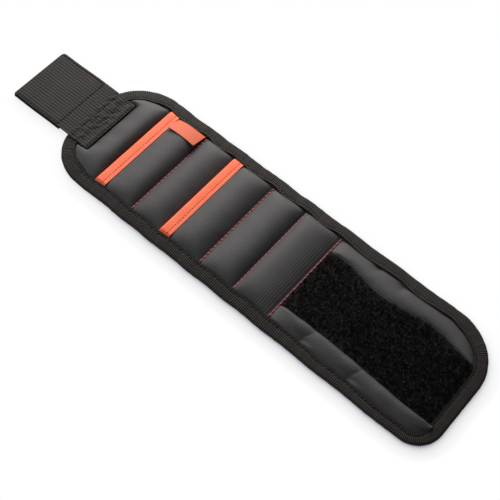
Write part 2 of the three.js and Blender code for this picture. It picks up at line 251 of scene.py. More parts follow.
def woven_place(tree):
    """Where a point lies on the flat cloth, along and across it."""
    flat = put(tree, "ShaderNodeUVMap", uv_map="weave")
    parts = put(tree, "ShaderNodeSeparateXYZ", {0: flat.outputs["UV"]})
    return parts.outputs["X"], parts.outputs["Y"]


def wave(tree, distance, pitch):
    """A row of rounded ridges, from 0 in the grooves to 1 on top."""
    turns = maths(tree, "DIVIDE", distance, pitch)
    return maths(tree, "ABSOLUTE", maths(tree, "SINE", maths(tree, "MULTIPLY", turns, math.pi)))


def crossing_threads():
    """Warp and weft that pass over and under each other; the Shade is painted shade, darkest in the
    gaps.
    """
    group, given = effect("crossing threads", {"Warp pitch": 0.6, "Weft pitch": 0.6})
    along, across = woven_place(group)
    warp = wave(group, along, given["Warp pitch"])
    weft = wave(group, across, given["Weft pitch"])
    over = maths(group, "MULTIPLY", warp, weft)
    put(group, "NodeGroupOutput", {"Height": over, "Shade": over})
    return group


def uneven_dye():
    """Slow patches where the cloth took more or less dye or was rubbed in use."""
    group, given = effect("uneven dye", {"Spread": 0.5})
    flat = put(group, "ShaderNodeUVMap", uv_map="weave")
    patches = put(group, "ShaderNodeTexNoise", {
        "Vector": flat.outputs["UV"], "Scale": 1 / DYE_PATCH, "Detail": 6.0,
    })
    shade = maths(group, "MULTIPLY", patches.outputs["Fac"], given["Spread"])
    put(group, "NodeGroupOutput", {"Height": patches.outputs["Fac"], "Shade": shade})
    return group


threads = crossing_threads()
dye = uneven_dye()


def new_finish(name):
    """A fresh material with its node tree and its shader."""
    material = bpy.data.materials.new(name)
    material.use_nodes = True
    return material, material.node_tree, material.node_tree.nodes["Principled BSDF"]


def cloth_material(name, weave, pitch, dark, light, bump, rough, shine=0.4, contrast=0.75, spread=0.5):
    """A textile finish: the weave's Shade, painted shade in its gaps and grooves, and the uneven dye mix
    two colours and rough it up.
    """
    material, tree, shader = new_finish(name)
    pattern = put(tree, "ShaderNodeGroup", node_tree=weave)
    pattern.inputs[0].default_value, pattern.inputs[1].default_value = pitch
    stain = put(tree, "ShaderNodeGroup", {"Spread": spread}, node_tree=dye)
    # The weave's painted shade darkens the colour in its gaps and grooves, as strongly as contrast says.
    share = maths(tree, "MULTIPLY_ADD", pattern.outputs["Shade"], contrast, stain.outputs["Shade"])
    tint = blended(tree, share, colour(*dark), colour(*light))
    tree.links.new(tint, shader.inputs["Base Color"])
    smoothest = rough - ROUGH_SPREAD / 2
    uneven = maths(tree, "MULTIPLY_ADD", stain.outputs["Height"], ROUGH_SPREAD, smoothest)
    tree.links.new(uneven, shader.inputs["Roughness"])
    relief = put(tree, "ShaderNodeBump", {"Height": pattern.outputs["Height"], "Distance": bump})
    tree.links.new(relief.outputs["Normal"], shader.inputs["Normal"])
    shader.inputs["Specular IOR Level"].default_value = shine
    return material


# The darker gaps between its threads are painted shade.
lining_cloth = cloth_material(
    "spacer mesh", threads, pitch=(1.1, 1.1), dark=(10, 10, 11), light=(34, 34, 37),
    bump=0.12 * MM, rough=0.85,
)


def hole_share(x, y):
    """How deep a point lies in the knit's staggered holes, from 0 to 1."""
    total = 0.0
    for angle in (0, math.pi / 3, -math.pi / 3):
        total += math.cos(2 * math.pi / HOLE_PITCH * (x * math.cos(angle) + y * math.sin(angle)))
    return max(0.0, (total - HOLE_RIM) / (3 - HOLE_RIM))


def lining_place(x, t):
    near = -half_width(x, -1, lining_inset)
    y = near + t * (half_width(x, 1, lining_inset) - near)
    edge = half_width(x, y, BINDING_WIDTH) - abs(y)
    ends = min(x - band_left, band_right - x) - BINDING_WIDTH
    tucked = limited(1 - min(edge, ends) / LINING_TUCK)
    z = LINING_RISE * eased(tucked) + HOLE_DEPTH * hole_share(x, y) * (1 - tucked)
    for fold in folds[: LAST_SEAM + 1]:
        z += SEAM_PULL * ridge(x - fold, SEAM_PULL_REACH)
    return (x, y, z), (x / MM, y / MM)


def lining_piece(number):
    start = cuts[number - 1] if number else band_left + lining_inset
    end = cuts[number] if number < len(cuts) else band_right - lining_inset
    bm = cloth_grid(start, end, LINING_STEP, round(2 * half_band / LINING_STEP), lining_place)
    piece = piece_of(bm, f"lining_{CELLS[number]}", lining_cloth)
    thicken(piece, LINING_THICKNESS, offset=1)
    follow_band(piece, number)
    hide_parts(f"{CELLS[number]}_lining")


for number in range(len(CELLS)):
    lining_piece(number)

# Disc magnets.
# Nickel-plated discs, two in each of the three pads, which hold screws and nails to the outside of
# the band. They lie in round holes of the foam and never show.
SCRATCHES_PER_METRE = 900.0
PLATE_POLISH = 0.15
PLATE_SCRATCHED = 0.25


def nickel_plate():
    material, tree, shader = new_finish("nickel plate")
    place = put(tree, "ShaderNodeTexCoord")
    scratches = put(tree, "ShaderNodeTexNoise", {
        "Vector": place.outputs["Object"], "Scale": SCRATCHES_PER_METRE,
    })
    ramp = put(tree, "ShaderNodeValToRGB", {"Fac": scratches.outputs["Fac"]})
    ramp.color_ramp.elements[0].color = colour(150, 152, 156)
    ramp.color_ramp.elements[1].color = colour(206, 207, 208)
    tree.links.new(ramp.outputs["Color"], shader.inputs["Base Color"])
    rough = maths(tree, "MULTIPLY_ADD", scratches.outputs["Fac"], PLATE_SCRATCHED, PLATE_POLISH)
    tree.links.new(rough, shader.inputs["Roughness"])
    shader.inputs["Metallic"].default_value = 1.0
    return material


nickel = nickel_plate()
for cell in ("pad_1", "pad_2", "pad_3"):
    for side in ("near", "far"):
        disc = frame["nodes"][f"{cell}_magnet_{side}"]
        disc.data.materials.clear()
        disc.data.materials.append(nickel)

# Backing cloth.
# The same coated cloth as the cover, lying flat under all the cells. It is the back of both pockets,
# and the seams are sewn through it.
BACKING_HEIGHT = 1.75 * MM
BACKING_THICKNESS = 0.35 * MM
BACKING_ROWS = 24
CLOTH_STEP = 1.1 * MM

# The darker gaps between its threads are painted shade.
cover_cloth = cloth_material(
    "coated cover cloth", threads, pitch=(1.25, 1.25), dark=(18, 17, 17), light=(88, 86, 85),
    bump=0.12 * MM, rough=0.62, shine=0.32, contrast=0.85, spread=0.4,
)


def backing_place(x, t):
    y = (2 * t - 1) * half_width(x, 2 * t - 1, lining_inset)
    return (x, y, BACKING_HEIGHT), (x / MM, y / MM)


def backing_piece(number):
    start = cuts[number - 1] if number else band_left + lining_inset
    end = cuts[number] if number <= LAST_SEAM else folds[LAST_SEAM] + 2 * SEAM_BEND
    bm = cloth_grid(start, end, CLOTH_STEP, BACKING_ROWS, backing_place)
    piece = piece_of(bm, f"backing_{CELLS[number]}", cover_cloth)
    thicken(piece, BACKING_THICKNESS, offset=1)
    follow_band(piece, number)
    if CELLS[number].startswith("pocket"):
        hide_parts(f"{CELLS[number]}_back")


for number in range(LAST_SEAM + 2):
    backing_piece(number)

# Padded cells.
# The coated cloth is drawn over foam and sewn down at the seams and under the binding, so each cell
# stands up as a full crown that draws in at its ends. The cloth is blown up until it is taut.
HEM_HEIGHT = 2.25 * MM
COVER_THICKNESS = 0.45 * MM
COVER_TUCK = 1.6 * MM
SEAM_HEM = 0.9 * MM
SEAM_GAP = 0.3 * MM
COVER_STEP = 0.95 * MM
PAD_RISE = 3.7 * MM
END_RISE = 3.6 * MM
HEM_REACH = 2.8 * MM
STRAP_SLIMMER = 0.6 * MM
SEAT_DITCH = 0.6 * MM
CROWN_ALONG = 2.4
NEAR_CROWN = 6
FAR_CROWN = 14
CROWN_FILL = 0.6
CROWN_LEAN = {
    "end_cell": 2.6 * MM, "pocket_1": 2.2 * MM, "pad_1": -0.8 * MM, "pocket_2": 0.0, "pad_2": 1.4 * MM,
    "pad_3": -4.2 * MM,
}
FULLNESS = 0.12
FULL_PATCH = 7 * MM
PAD_PRESSURE = 4.0
CLOTH_STIFFNESS = 0.4
SIM_SCALE = 100.0
SIM_FRAMES = 18


def bulge(share, power):
    """A full, rounded rise: 1 in the middle, and 0 where the share reaches 1 or -1."""
    return max(0.0, 1 - abs(share) ** power) ** CROWN_FILL


def patchy(x, y, patch, pattern):
    """A slow change from place to place, between -1 and 1, over patches of a given size."""
    return noise.noise((x / patch, y / patch, pattern))


def fullness(x, y, end):
    """How full the padding is at a place, 1 on average. The cloth's end picks its own pattern."""
    return 1 + FULLNESS * patchy(x, y, FULL_PATCH, pattern=end / FULL_PATCH)


def blow_up(bm, sewn, pressure):
    """Lets air press a cloth up from where it is sewn down, until it settles, and keeps that shape."""
    mesh = bpy.data.meshes.new("cloth under pressure")
    bm.to_mesh(mesh)
    mesh.transform(Matrix.Scale(SIM_SCALE, 4))
    cloth = bpy.data.objects.new("cloth under pressure", mesh)
    bpy.context.scene.collection.objects.link(cloth)
    held = cloth.vertex_groups.new(name="sewn")
    held.add([vert.index for vert in bm.verts if sewn(vert.co.x, vert.co.y)], 1.0, "REPLACE")
    air = cloth.modifiers.new("air", "CLOTH")
    air.settings.vertex_group_mass = "sewn"
    air.settings.use_pressure = True
    air.settings.uniform_pressure_force = pressure
    air.settings.bending_stiffness = CLOTH_STIFFNESS
    air.settings.effector_weights.gravity = 0
    air.point_cache.frame_end = SIM_FRAMES
    for number in range(1, SIM_FRAMES + 1):
        bpy.context.scene.frame_set(number)
    settled = cloth.evaluated_get(bpy.context.evaluated_depsgraph_get())
    for vert, moved in zip(bm.verts, settled.data.vertices):
        vert.co = moved.co / SIM_SCALE
    bpy.context.scene.frame_set(1)
    bpy.data.objects.remove(cloth)
    bpy.data.meshes.remove(mesh)


def lean_over(bm, cell, start, end):
    """Pushes a crown toward one of its seams, as its filling was stuffed unevenly."""
    for vert in bm.verts:
        share = limited((vert.co.x - start) / (end - start))
        vert.co.x += CROWN_LEAN[cell] * math.sin(math.pi * share)


def round_off(piece):
    """Smooths a simulated cloth between its threads."""
    smooth = piece.modifiers.new("smooth cloth", "SUBSURF")
    smooth.levels = 1
    smooth.render_levels = 1


def crown_across(y, edge):
    """A crown's rise across the band, which stays full further out on the far side."""
    return bulge(y / edge, FAR_CROWN if y > 0 else NEAR_CROWN)


def cover_grid(start, end, place):
    """A cover from start to end along the band, fine enough to fold and puff."""
    return cloth_grid(start, end, COVER_STEP, 2 * round(half_band / COVER_STEP), place)


def crowned_cloth(start, end, rise, pressed=None):
    """A cover sewn down all round and crowned between start and end. It stays flat where pressed(x, y)
    says that something is sewn on top of it. Gives the cloth, and what says where it is sewn."""
    middle = (start + end) / 2
    half = (end - start) / 2 - SEAM_HEM

    def flat(x, y):
        edge = half_width(x, y, BINDING_WIDTH)
        return abs(x - middle) > half or abs(y) > edge or (pressed and pressed(x, y))

    def place(x, t):
        y = (2 * t - 1) * half_width(x, 2 * t - 1, BINDING_WIDTH - COVER_TUCK)
        z = HEM_HEIGHT
        if not flat(x, y):
            across = crown_across(y, half_width(x, y, BINDING_WIDTH))
            z += rise * fullness(x, y, end) * bulge((x - middle) / half, CROWN_ALONG) * across
        return (x, y, z), (x / MM, y / MM)

    return cover_grid(start, end, place), flat


def cell_ends(cell):
    number = CELLS.index(cell)
    return folds[number - 1] + SEAM_GAP, folds[number] - SEAM_GAP


strap_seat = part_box("strap_anchor")[1].x + HEM_REACH
half_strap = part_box("strap_anchor")[1].y - STRAP_SLIMMER


def under_strap(x, y):
    return x < strap_seat + SEAT_DITCH and abs(y) < half_strap + SEAT_DITCH


for cell in ("end_cell", "pad_1", "pad_2", "pad_3"):
    if cell == "end_cell":
        start, end = band_left + BINDING_WIDTH - COVER_TUCK, folds[0] - SEAM_GAP
        bm, sewn = crowned_cloth(start, end, END_RISE, under_strap)
        start = strap_seat + SEAT_DITCH
    else:
        start, end = cell_ends(cell)
        bm, sewn = crowned_cloth(start, end, PAD_RISE)
    blow_up(bm, sewn, PAD_PRESSURE)
    lean_over(bm, cell, start, end)
    cover = piece_of(bm, f"cover_{cell}", cover_cloth)
    thicken(cover, COVER_THICKNESS)
    round_off(cover)
    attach(cover, cell)
    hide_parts(f"{cell}_cover", f"{cell}_foam")

# Pocket fronts.
# The same cloth, open at the end nearer the strap and sewn down at the other end and under the
# binding.
RIBBON_WIDTH = 8.2 * MM
RIBBON_HOLD = 1 * MM
MOUTH_BACK = 0.5 * MM
MOUTH_HEIGHT = 3.75 * MM
FRONT_RISE = 3.1 * MM
FRONT_FALL = 4 * MM
FRONT_HEM = HEM_HEIGHT + 0.15 * MM
LABEL_LENGTH = 22.0 * MM
LABEL_WIDTH = 13.2 * MM
LABEL_HIGH = 7.75 * MM
LABEL_LOW = 4.1 * MM
LABEL_CURL = 9.0
LABEL_TUCK = 2.6 * MM
LABEL_SEWN = 2.25 * MM
LABEL_CAUGHT = 0.5 * MM
LABEL_SHIFT = 0.6 * MM
LABEL_CLEARANCE = 0.1 * MM

label_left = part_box("side_label")[0].x - LABEL_SHIFT
label_far = inner_half + LABEL_CAUGHT


def label_height(x, y):
    """The underside of the stiff label on the first pocket, which slopes toward the far edge and dips
    under the binding there."""
    share = (label_far - y) / LABEL_WIDTH
    curl = LABEL_CURL * (x - label_left - LABEL_LENGTH / 2) ** 2
    z = LABEL_LOW + (LABEL_HIGH - LABEL_LOW) * share - curl
    return z + (LABEL_SEWN - z) * limited((y - label_far + LABEL_TUCK) / LABEL_TUCK) ** 2


def cut_away(bm, place, facing):
    """Cuts a cloth along a plane and drops what lies on the side that the plane faces."""
    everything = [*bm.verts, *bm.edges, *bm.faces]
    bmesh.ops.bisect_plane(
        bm, geom=everything, dist=COVER_STEP / 2, plane_co=place, plane_no=facing, clear_outer=True
    )


def halves(bm, name, material):
    """Splits a piece along the band's middle line into a near and a far half."""
    made = []
    for word, side in (("near", -1), ("far", 1)):
        half = bm.copy()
        cut_away(half, (0, 0, 0), (0, -side, 0))
        made.append((side, piece_of(half, f"{name}_{word}", material)))
    bm.free()
    return made


def bow_with(piece):
    """Bakes where a piece stands into its mesh."""
    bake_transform(piece)


for pocket in ("pocket_1", "pocket_2"):
    start, end = cell_ends(pocket)
    mouth = start + MOUTH_BACK
    ribbon_end = mouth + RIBBON_WIDTH
    middle = (ribbon_end + end) / 2
    half = (end - ribbon_end) / 2 - SEAM_HEM / 2

    def place(x, t):
        y = (2 * t - 1) * (inner_half + COVER_TUCK)
        share = limited((x - ribbon_end) / (end - ribbon_end))
        base = MOUTH_HEIGHT + share * (HEM_HEIGHT - MOUTH_HEIGHT)
        base += limited((abs(y) - inner_half + FRONT_FALL) / FRONT_FALL) * (FRONT_HEM - base)
        along = bulge((x - middle) / half, CROWN_ALONG)
        z = base + FRONT_RISE * fullness(x, y, end) * along * crown_across(y, inner_half)
        return (x, y, z), (x / MM, y / MM)

    def sewn(x, y):
        return x < ribbon_end - RIBBON_HOLD or x > end - SEAM_HEM / 2 or abs(y) > inner_half

    bm = cover_grid(mouth, end, place)
    blow_up(bm, sewn, PAD_PRESSURE)
    lean_over(bm, pocket, ribbon_end, end)
    if pocket == "pocket_1":
        for vert in bm.verts:
            if vert.co.y > label_far - LABEL_WIDTH:
                under = label_height(vert.co.x, vert.co.y) - LABEL_CLEARANCE
                vert.co.z = min(vert.co.z, under)
    for side, front in halves(bm, f"{pocket}_front", cover_cloth):
        thicken(front, COVER_THICKNESS)
        bow_with(front)
        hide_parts(f"{pocket}_front")

# Mouth ribbons.
# Orange grosgrain, folded over the mouth of each pocket and sewn through with one line of stitches.
# Its ribs run across the tape, and its ends are pressed flat under the binding.
RIBBON_TUCK = 1.3 * MM
RIBBON_FALL = 2.4 * MM
RIBBON_SEWN = HEM_HEIGHT + 0.1 * MM
RIBBON_PRESSED = 0.2
RIBBON_THICKNESS = 0.4 * MM
RIBBON_RIB = 0.95 * MM
RIBBON_RIB_HEIGHT = 0.07 * MM
RIBBON_COLUMNS = 18
RIBBON_SEAM = 5.3 * MM
RIBBON_STITCH = 2.3 * MM
RIBBON_GROOVE = 0.1 * MM
RIBBON_GROOVE_REACH = 0.5 * MM
RIBBON_BOW = 0.12 * MM
RIBBON_BOW_PATCH = 9 * MM
RIB_STEPS = 4
RIB_ROUNDNESS = 0.7
TICK_SHADE = 0.55
STITCH_LIFT = 0.05 * MM


def tape_ribs():
    """Ribs across a tape, and the weft ticks that cross them in turn; the Shade is painted shade in
    their grooves.
    """
    group, given = effect("tape ribs", {"Rib pitch": 1.5, "Tick pitch": 0.8})
    rib_pitch, tick_pitch = given["Rib pitch"], given["Tick pitch"]
    along, across = woven_place(group)
    rib = wave(group, along, rib_pitch)
    number = maths(group, "FLOOR", maths(group, "DIVIDE", along, rib_pitch))
    shift = maths(group, "MULTIPLY", number, tick_pitch)
    tick = wave(group, maths(group, "MULTIPLY_ADD", shift, 0.5, across), tick_pitch)
    height = maths(group, "MULTIPLY", rib, tick)
    # Painted shade: the grooves between the ribs and between the ticks are coloured darker.
    crossed = maths(group, "MULTIPLY_ADD", tick, TICK_SHADE, 1 - TICK_SHADE)
    shade = maths(group, "MULTIPLY", maths(group, "MULTIPLY", rib, rib), crossed)
    put(group, "NodeGroupOutput", {"Height": height, "Shade": shade})
    return group


tape_weave = tape_ribs()
# The deeper orange in the grooves between its ribs is painted shade.
ribbon_tape = cloth_material(
    "orange grosgrain", tape_weave, pitch=(RIBBON_RIB / MM, 0.4), dark=(230, 66, 32),
    light=(250, 132, 84), bump=0.03 * MM, rough=0.62,
)
ribbon_thread = cloth_material(
    "orange thread", threads, pitch=(0.4, 0.4), dark=(222, 70, 40), light=(248, 112, 76),
    bump=0.03 * MM, rough=0.5,
)


def ribs(distance, pitch):
    """A row of round ribs with sharp grooves between them, from 0 to 1."""
    return abs(math.sin(math.pi * distance / pitch)) ** RIB_ROUNDNESS


def folded(along, leg, radius):
    """A tape folded in half round an edge: how far in from the fold a point lies, how high above the
    lower half, and how much its face looks outward and up."""
    if along < leg:
        return radius + leg - along, 2 * radius, 0.0, 1.0
    turn = (along - leg) / radius
    if turn > math.pi:
        return radius + along - leg - math.pi * radius, 0.0, 0.0, -1.0
    facing, up = math.sin(turn), math.cos(turn)
    return radius - radius * facing, radius + radius * up, facing, up


def small_mesh(bm, name, flat):
    """Keeps a small shape that is repeated. flat(place) gives its weave coordinates at a point."""
    bmesh.ops.recalc_face_normals(bm, faces=bm.faces)
    weave = bm.loops.layers.uv.new("weave")
    for face in bm.faces:
        face.smooth = True
        for loop in face.loops:
            loop[weave].uv = flat(loop.vert.co)
    mesh = bpy.data.meshes.new(name)
    bm.to_mesh(mesh)
    bm.free()
    return mesh


def stitch(length, width, sag):
    """One stitch: a thread that arches out of the cloth and back, made by spinning its section."""
    radius = length * length / (8 * sag) + sag / 2
    angle = 2 * math.asin(length / 2 / radius)
    bm = bmesh.new()
    bmesh.ops.create_circle(bm, segments=6, radius=width / 2)
    bmesh.ops.rotate(bm, verts=bm.verts, cent=(0, 0, 0), matrix=Matrix.Rotation(math.pi / 2, 3, "X"))
    bmesh.ops.translate(bm, verts=bm.verts, vec=(0, 0, radius))
    bmesh.ops.rotate(bm, verts=bm.verts, cent=(0, 0, 0), matrix=Matrix.Rotation(angle / 2, 3, "X"))
    bmesh.ops.spin(
        bm, geom=[*bm.verts, *bm.edges], cent=(0, 0, 0), axis=(-1, 0, 0), angle=angle, steps=5
    )
    bmesh.ops.translate(bm, verts=bm.verts, vec=(0, 0, sag - radius))
    bmesh.ops.holes_fill(bm, edges=[edge for edge in bm.edges if edge.is_boundary])
    return small_mesh(bm, "stitch", lambda place: ((place.x + place.z) / MM, place.y / MM))


def sow(planted):
    """Copies small meshes to their places, given as pairs of a mesh and a place."""
    bm = bmesh.new()
    for seed, place in planted:
        seed.transform(place)
        bm.from_mesh(seed)
        seed.transform(place.inverted())
    return bm


def stitch_places(start, end, pitch):
    """Where the stitches of a seam lie between its ends."""
    count = round(abs(end - start) / pitch)
    return [start + (number + 0.5) * (end - start) / count for number in range(count)]


def under_binding(y, z, middle):
    """A height on the ribbon, pressed flat where the ribbon's end goes under the binding."""
    share = eased((abs(y) - inner_half + RIBBON_FALL) / (RIBBON_FALL + RIBBON_TUCK))
    return z + (RIBBON_SEWN + RIBBON_PRESSED * (z - middle) - z) * share


ribbon_stitch = stitch(length=0.82 * RIBBON_STITCH, width=0.42 * MM, sag=0.3 * MM)
for pocket in ("pocket_1", "pocket_2"):
    lowest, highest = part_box(f"{pocket}_ribbon")
    mouth = lowest.x
    low = lowest.z + RIBBON_THICKNESS / 2
    high = highest.z - RIBBON_THICKNESS / 2
    middle = (high + low) / 2
    reach = inner_half + RIBBON_TUCK
    sewn_reach = reach - 2 * RIBBON_TUCK
    radius = (high - low) / 2
    leg = RIBBON_WIDTH - radius
    run = 2 * leg + math.pi * radius
    for word, side in (("near", -1), ("far", 1)):

        def place(along, t):
            y = reach * (t if side > 0 else t - 1)
            inset, height, facing, up = folded(along, leg, radius)
            swell = RIBBON_RIB_HEIGHT * ribs(y, RIBBON_RIB)
            swell -= RIBBON_GROOVE * ridge(along - leg + RIBBON_SEAM - radius, RIBBON_GROOVE_REACH)
            bow = RIBBON_BOW * patchy(y, along, RIBBON_BOW_PATCH, pattern=3)
            z = under_binding(y, low + height + up * swell + bow, middle)
            return (mouth + inset - facing * swell, y, z), (y / MM, along / MM)

        rows = round(reach / RIBBON_RIB * RIB_STEPS)
        bm = cloth_grid(0, run, run / RIBBON_COLUMNS, rows, place)
        ribbon = piece_of(bm, f"{pocket}_ribbon_{word}", ribbon_tape)
        ribbon.data.flip_normals()
        thicken(ribbon, RIBBON_THICKNESS, offset=0)
        bow_with(ribbon)
        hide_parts(f"{pocket}_ribbon")
        planted = []
        for y in stitch_places(0, side * sewn_reach, RIBBON_STITCH):
            z = under_binding(y, high + STITCH_LIFT, middle)
            planted.append((ribbon_stitch, Matrix.Translation((mouth + RIBBON_SEAM, y, z))))
        line = piece_of(sow(planted), f"{pocket}_ribbon_stitches_{word}", ribbon_thread)
        bow_with(line)

# Side label.
# A bare orange satin tag, folded double, lying on the first pocket with its cut ends caught under
# the far binding.
LABEL_THICKNESS = 0.5 * MM
LABEL_STEP = 0.5 * MM

# The darker gaps between its threads are painted shade.
label_cloth = cloth_material(
    "orange satin", threads, pitch=(0.3, 0.45), dark=(188, 66, 30), light=(212, 100, 52),
    bump=0.02 * MM, rough=0.65,
)


def label_place(x, t):
    y = label_far - (1 - t) * LABEL_WIDTH
    return (x, y, label_height(x, y)), (x / MM, y / MM)


rows = round(LABEL_WIDTH / LABEL_STEP)
bm = cloth_grid(label_left, label_left + LABEL_LENGTH, LABEL_STEP, rows, label_place)
label = piece_of(bm, "side_label_tag", label_cloth)
thicken(label, LABEL_THICKNESS, offset=1)
bow_with(label)
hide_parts("side_label")

# Quilting seams.
# Dark red lock-stitching in four of the grooves across the band, each stitch a separate arch of
# twisted thread.
SEAM_STITCH = 3.3 * MM
SEAM_HEIGHT = HEM_HEIGHT + 0.1 * MM
SEAM_TILT = math.radians(5)

# Its dark red is the thread's own colour; the pink that the twist pattern mixes in is painted highlight.
red_thread = cloth_material(
    "red thread", threads, pitch=(0.5, 0.5), dark=(104, 20, 28), light=(204, 104, 104),
    bump=0.05 * MM, rough=0.45,
)
seam_stitch = stitch(length=0.8 * SEAM_STITCH, width=0.95 * MM, sag=0.8 * MM)
for number, cell in enumerate(("pad_1", "pad_2", "pad_3", "tail_1"), start=1):
    low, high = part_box(f"seam_thread_{number}")
    x = (low.x + high.x) / 2
    reach = high.y
    dice = random.Random(number)
    planted = []
    for y in stitch_places(-reach, reach, SEAM_STITCH):
        tilt = Matrix.Rotation(dice.uniform(-SEAM_TILT, SEAM_TILT), 4, "Z")
        planted.append((seam_stitch, Matrix.Translation((x, y, SEAM_HEIGHT)) @ tilt))
    line = piece_of(sow(planted), f"seam_stitches_{number}", red_thread)
    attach(line, cell)
    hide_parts(f"seam_thread_{number}")

# Tail panel.
# The coated cloth runs on over the tail with a little padding. The loop tape sewn on its middle makes
# two puffed strips beside it, which fall to the binding, with small gathers where its seam pulls.
LOOP_HALF = 24.2 * MM
FAR_LEAN = 2.2 * MM
FAR_LEAN_AT = 101 * MM
FAR_LEAN_PITCH = 70 * MM
NEAR_SLANT = 2.0 * MM
NEAR_WANDER = 0.6 * MM
NEAR_WANDER_RUN = 17 * MM
NEAR_OFF_CENTRE = 2.4 * MM
TAPE_BACK = 1.6 * MM
TAPE_SHORT = 0.3 * MM
TAPE_LOW = 2.6 * MM
TAPE_HIGH = 3.5 * MM
TAPE_RAMP = 12 * MM
PANEL_EDGE = 3.3 * MM
EDGE_FALL = 0.9 * MM
PANEL_DIVE = 1.6 * MM
PANEL_RAMP = 5 * MM
PANEL_PRESSURE = 0.3
NARROWEST_STRIP = 0.001 * MM
FAR_PUFF = 1.7 * MM
NEAR_PUFF = 2.3 * MM
PUFF_FOLD = 0.14
GATHERS = [
    (87.0 * MM, 1, 5 * MM), (106.5 * MM, 1, 8 * MM), (81.0 * MM, -1, 13 * MM), (117.0 * MM, -1, 13 * MM),
]
GATHER_WIDTH = 1.9 * MM
GATHER_SLANT = 0.35
GATHER_DEPTH = 1.1 * MM
GATHER_HELD = 0.85

panel_start = folds[LAST_SEAM] + SEAM_GAP
panel_end = band_right - BINDING_WIDTH + COVER_TUCK
tape_start = folds[LAST_SEAM] + TAPE_BACK
tape_end = band_right - BINDING_WIDTH - TAPE_SHORT


def tail_share(x):
    """How far along the tail panel a place lies, from 0 to 1."""
    return limited((x - panel_start) / (panel_end - panel_start))


def tape_share(x):
    """How far along the loop tape a place lies: from 0 to 1 on the tape, and past these off its ends."""
    return (x - tape_start) / (tape_end - tape_start)


def bound_width(x, side):
    """How far the binding reaches in over the panel. It was folded off centre along the near edge."""
    return BINDING_WIDTH - NEAR_OFF_CENTRE * tail_share(x) * max(-side, 0.0)


def loop_edge(x, side):
    """The loop tape's edge as far as it shows: the tape is sewn on a little askew, and the far strip
    leans over it in places."""
    if side > 0:
        return LOOP_HALF - FAR_LEAN * (1 + math.cos(2 * math.pi * (x - FAR_LEAN_AT) / FAR_LEAN_PITCH))
    wander = NEAR_WANDER * math.sin(x / NEAR_WANDER_RUN - 1)
    return LOOP_HALF + wander + NEAR_SLANT * tape_share(x)


def strip_edge(x, side, tuck=0.0):
    """Where a puffed strip meets the binding, or ends tucked under it."""
    return half_width(x, side, bound_width(x, side) - tuck)


def gathered(x, y):
    """How far a point lies in one of the creases that run in from the binding, from 0 to 1."""
    share = 0.0
    for along, side, reach in GATHERS:
        into = strip_edge(x, side) - side * y
        if 0 <= into <= reach:
            crease = ridge(x - along - GATHER_SLANT * into, GATHER_WIDTH)
            share += crease * math.sqrt(1 - into / reach)
    return min(share, 1.0)


def tape_seat(x):
    """The panel's height under the loop tape, which sinks toward both ends of the tape."""
    share = limited(min(x - tape_start, tape_end - x) / TAPE_RAMP)
    return TAPE_LOW + (TAPE_HIGH - TAPE_LOW) * share * (2 - share)


def panel_place(x, t):
    side = 1 if t > 0.5 else -1
    y = (2 * t - 1) * strip_edge(x, side, COVER_TUCK)
    edge = strip_edge(x, side)
    inner = min(loop_edge(x, side), edge)
    share = (abs(y) - inner) / max(edge - inner, NARROWEST_STRIP)
    z = tape_seat(x)
    if share > 0:
        fold = math.sin(math.pi / 2 * min(share / PUFF_FOLD, 1.0))
        z += (FAR_PUFF if side > 0 else NEAR_PUFF) * fullness(x, y, end=0.0) * fold
        fall = limited((share - PUFF_FOLD) / (1 - PUFF_FOLD))
        low = PANEL_EDGE - EDGE_FALL * min(2 * tail_share(x), 1.0)
        z += (low - z) * fall - GATHER_DEPTH * gathered(x, y)
        z += (HEM_HEIGHT - z) * limited((abs(y) - edge + PANEL_DIVE) / PANEL_DIVE) ** 2
    ends = limited((x - panel_start - SEAM_HEM) / PANEL_RAMP)
    return (x, y, HEM_HEIGHT + math.sqrt(ends) * (z - HEM_HEIGHT)), (x / MM, y / MM)


def panel_sewn(x, y):
    side = 1 if y > 0 else -1
    held = abs(y) > strip_edge(x, side) or abs(y) < loop_edge(x, side) or x < panel_start + SEAM_HEM
    return held or gathered(x, y) > GATHER_HELD


panel = cover_grid(panel_start, panel_end, panel_place)
blow_up(panel, panel_sewn, PANEL_PRESSURE)


def tail_lengths(bm, name, material):
    """Cuts a piece that runs along the tail where its next bend begins, and gives each length."""
    first = CELLS.index("tail_1")
    for number in range(first, len(CELLS)):
        length = bm.copy()
        for cut, facing in ((number - 1, -1), (number, 1)):
            if first <= cut < len(cuts):
                cut_away(length, (cuts[cut], 0, 0), (facing, 0, 0))
        yield number, piece_of(length, f"{name}_{CELLS[number]}", material)
    bm.free()


def follow_tail(piece, number):
    """Attaches the first length, which begins past its fold line, to tail_1; the others go to
    follow_band.
    """
    if CELLS[number] == "tail_1":
        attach(piece, "tail_1")
    else:
        follow_band(piece, number)


for number, length in tail_lengths(panel, "panel", cover_cloth):
    thicken(length, COVER_THICKNESS)
    follow_tail(length, number)
    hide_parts(f"{CELLS[number]}_panel")

# Loop tape.
# Black knitted tape with a deep brushed pile of nylon loops, which the strap's hooks catch. Every loop
# is a bent filament of its own, leaning as the brush left it, and the pile is rubbed lighter in tufts.
# The light tufts thin out toward the tail end, which is painted shade where the light falls off.
TAPE_ROWS = 36
TAPE_CLEARANCE = 0.2 * MM
PILE_BASE = 0.5 * MM
PILE_ROOT = 0.1 * MM
PILE_HEIGHT = 1.0 * MM
PILE_FILAMENT = 0.2 * MM
PILE_DENSITY = 2.7
PILE_SPREAD = 1.15 * MM
PILE_MARGIN = 1 * MM
PILE_SIDE_GAP = 0.3 * MM
PILE_END_GAP = 0.5 * MM
PILE_SIZES = (0.65, 1.05)
PILE_TUFT = 1.2 * MM
PILE_SEED = 7
RUBBED_FROM = 0.07
PILE_PAINTED_FALLOFF = 0.2
DARK_LOOPS = [(0.2, 0.0), (0.8, 0.05), (1.0, 0.02), (1.2, 0.03), (1.4, 0.0)]
RUBBED_LOOPS = [(0.2, 0.8), (0.5, 1.0), (0.3, 0.9)]

